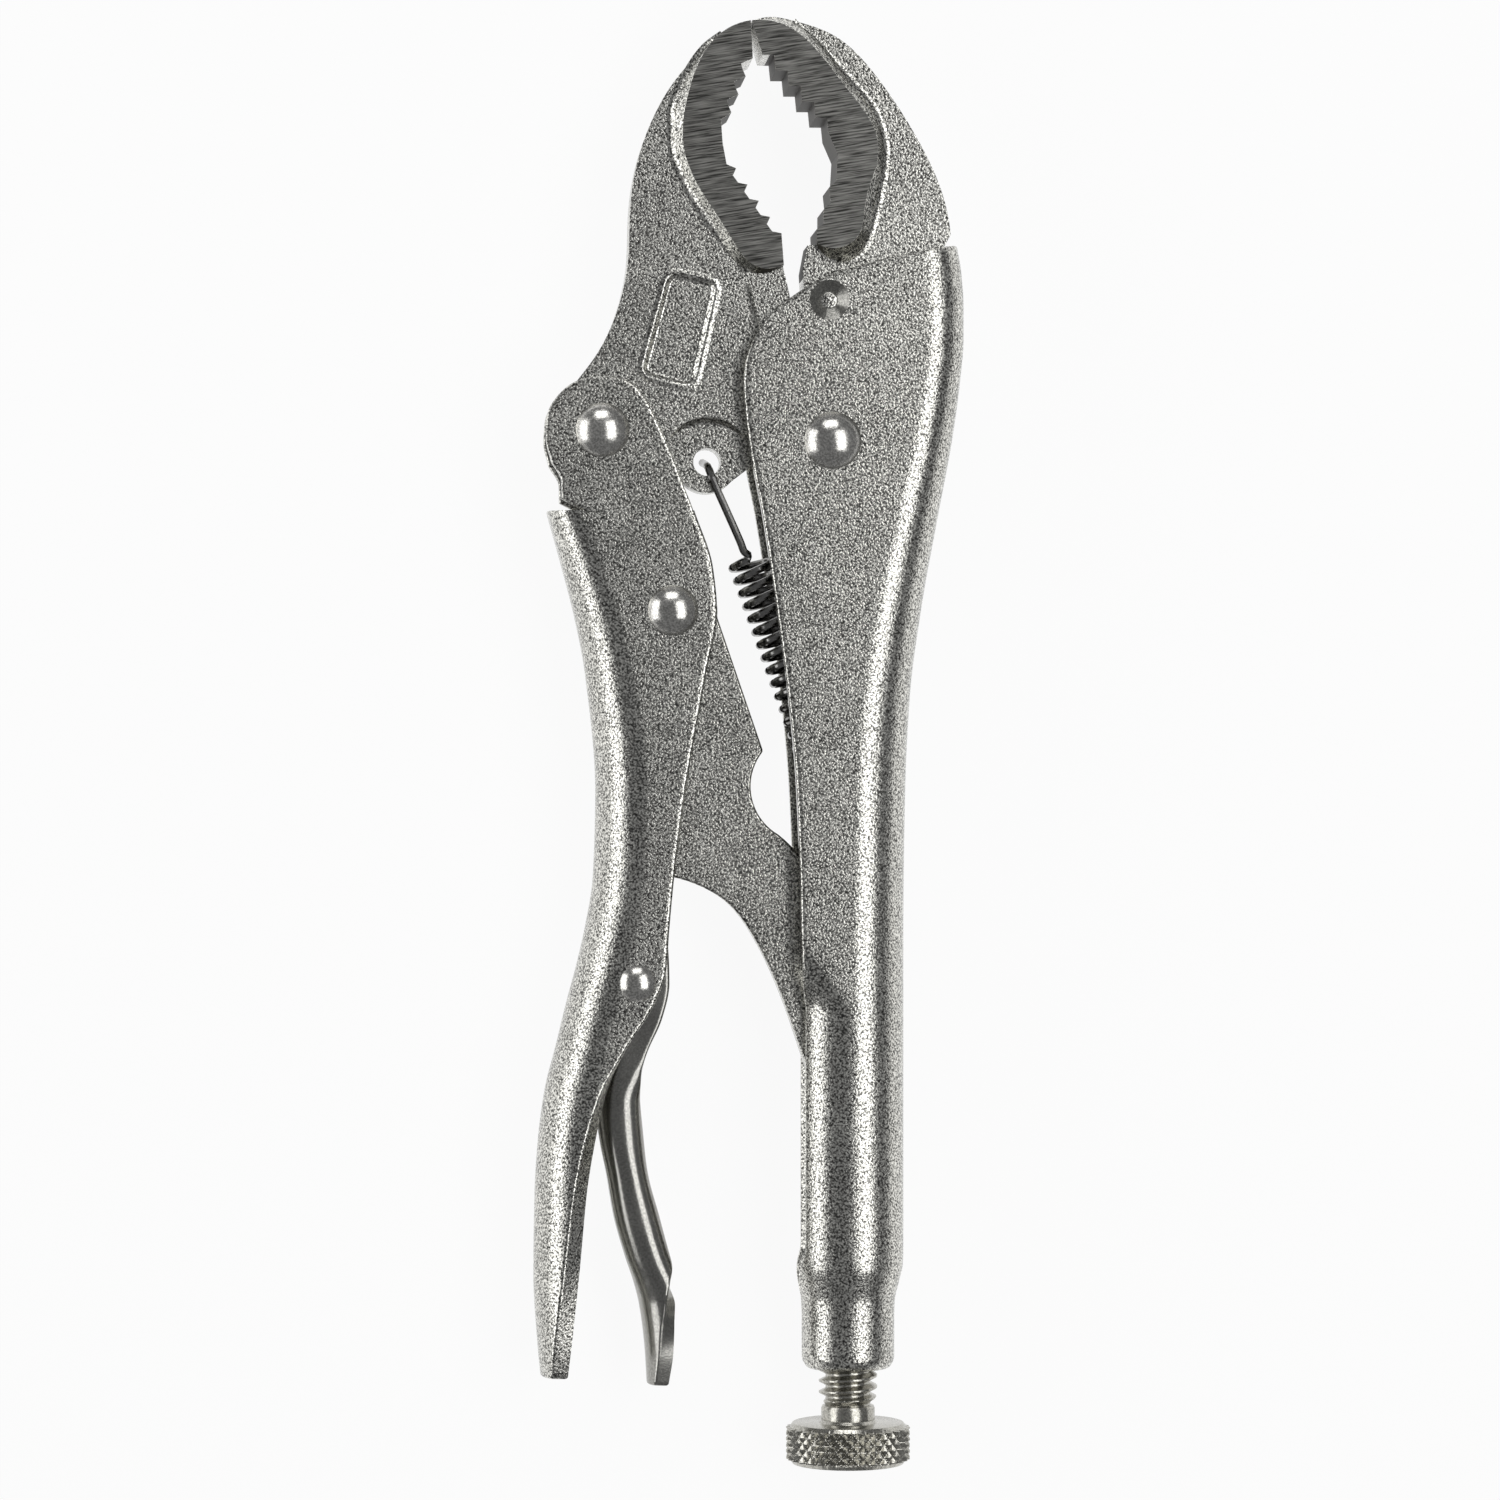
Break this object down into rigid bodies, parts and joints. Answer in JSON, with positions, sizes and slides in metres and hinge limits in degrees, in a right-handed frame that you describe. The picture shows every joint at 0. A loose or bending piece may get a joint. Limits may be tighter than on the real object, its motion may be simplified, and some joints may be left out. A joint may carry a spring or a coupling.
{
  "type": "locking pliers",
  "caption": "Curved-jaw locking pliers with an adjusting screw, toggle link and release lever, shown with the jaws nearly closed",
  "frame": {"origin": "centre of the overall box in X and Y, at its lowest Z: the plane that the pliers lie on, touching the heads of the main rivet", "axes": "+Y along the tool towards the jaw tips, +X towards the fixed handle, +Z along the rivets, up out of the plane that the pliers lie on"},
  "size_m": [0.0546, 0.1824, 0.0178],
  "materials": {
    "plated_sheet": "satin nickel plate with a fine grain",
    "forged_jaw": "satin nickel plate, ground on the gripping pads",
    "bright_rivet": "polished nickel plate",
    "bright_lever": "smooth nickel plate",
    "screw_steel": "bright turned and knurled steel",
    "black_wire": "blackened spring wire"
  },
  "bodies": {
    "fixed_handle": {"fixed_handle": "plated_sheet", "fixed_jaw": "forged_jaw", "fixed_jaw_pin": "forged_jaw", "main_pivot_rivet": "bright_rivet", "opening_spring": "black_wire"},
    "moving_jaw": {"moving_jaw": "forged_jaw"},
    "lower_handle": {"lower_handle": "plated_sheet", "jaw_handle_rivet": "bright_rivet", "link_rivet": "bright_rivet", "release_lever_rivet": "bright_rivet"},
    "toggle_link": {"toggle_link": "plated_sheet"},
    "release_lever": {"release_lever": "bright_lever"},
    "adjusting_screw": {"adjusting_screw": "screw_steel"}
  },
  "joints": [
    {"name": "jaw_pivot", "type": "hinge", "parent": "fixed_handle", "child": "moving_jaw", "pos_m": [0.01033, 0.03777, 0.0089], "axis": [0, 0, 1], "range_deg": [0, 16.1], "deforming": ["opening_spring"]},
    {"name": "handle_swing", "type": "hinge", "parent": "moving_jaw", "child": "lower_handle", "pos_m": [-0.01847, 0.03897, 0.0089], "axis": [0, 0, -1], "range_deg": [0, 56.5]},
    {"name": "link_pivot", "type": "hinge", "parent": "lower_handle", "child": "toggle_link", "pos_m": [-0.00967, 0.01647, 0.0089], "axis": [0, 0, 1], "range_deg": [0, 56.5]},
    {"name": "lever_pivot", "type": "hinge", "parent": "lower_handle", "child": "release_lever", "pos_m": [-0.01407, -0.03013, 0.0089], "axis": [0, 0, -1], "range_deg": [0, 11]},
    {"name": "screw_travel", "type": "slide", "parent": "fixed_handle", "child": "adjusting_screw", "axis": [0, -1, 0], "range_m": [0, 0.016]}
  ],
  "couplings": [
    {"joint": "jaw_pivot", "follows": "handle_swing", "ratio": 0.2832},
    {"joint": "link_pivot", "follows": "handle_swing", "ratio": 0.9947}
  ]
}
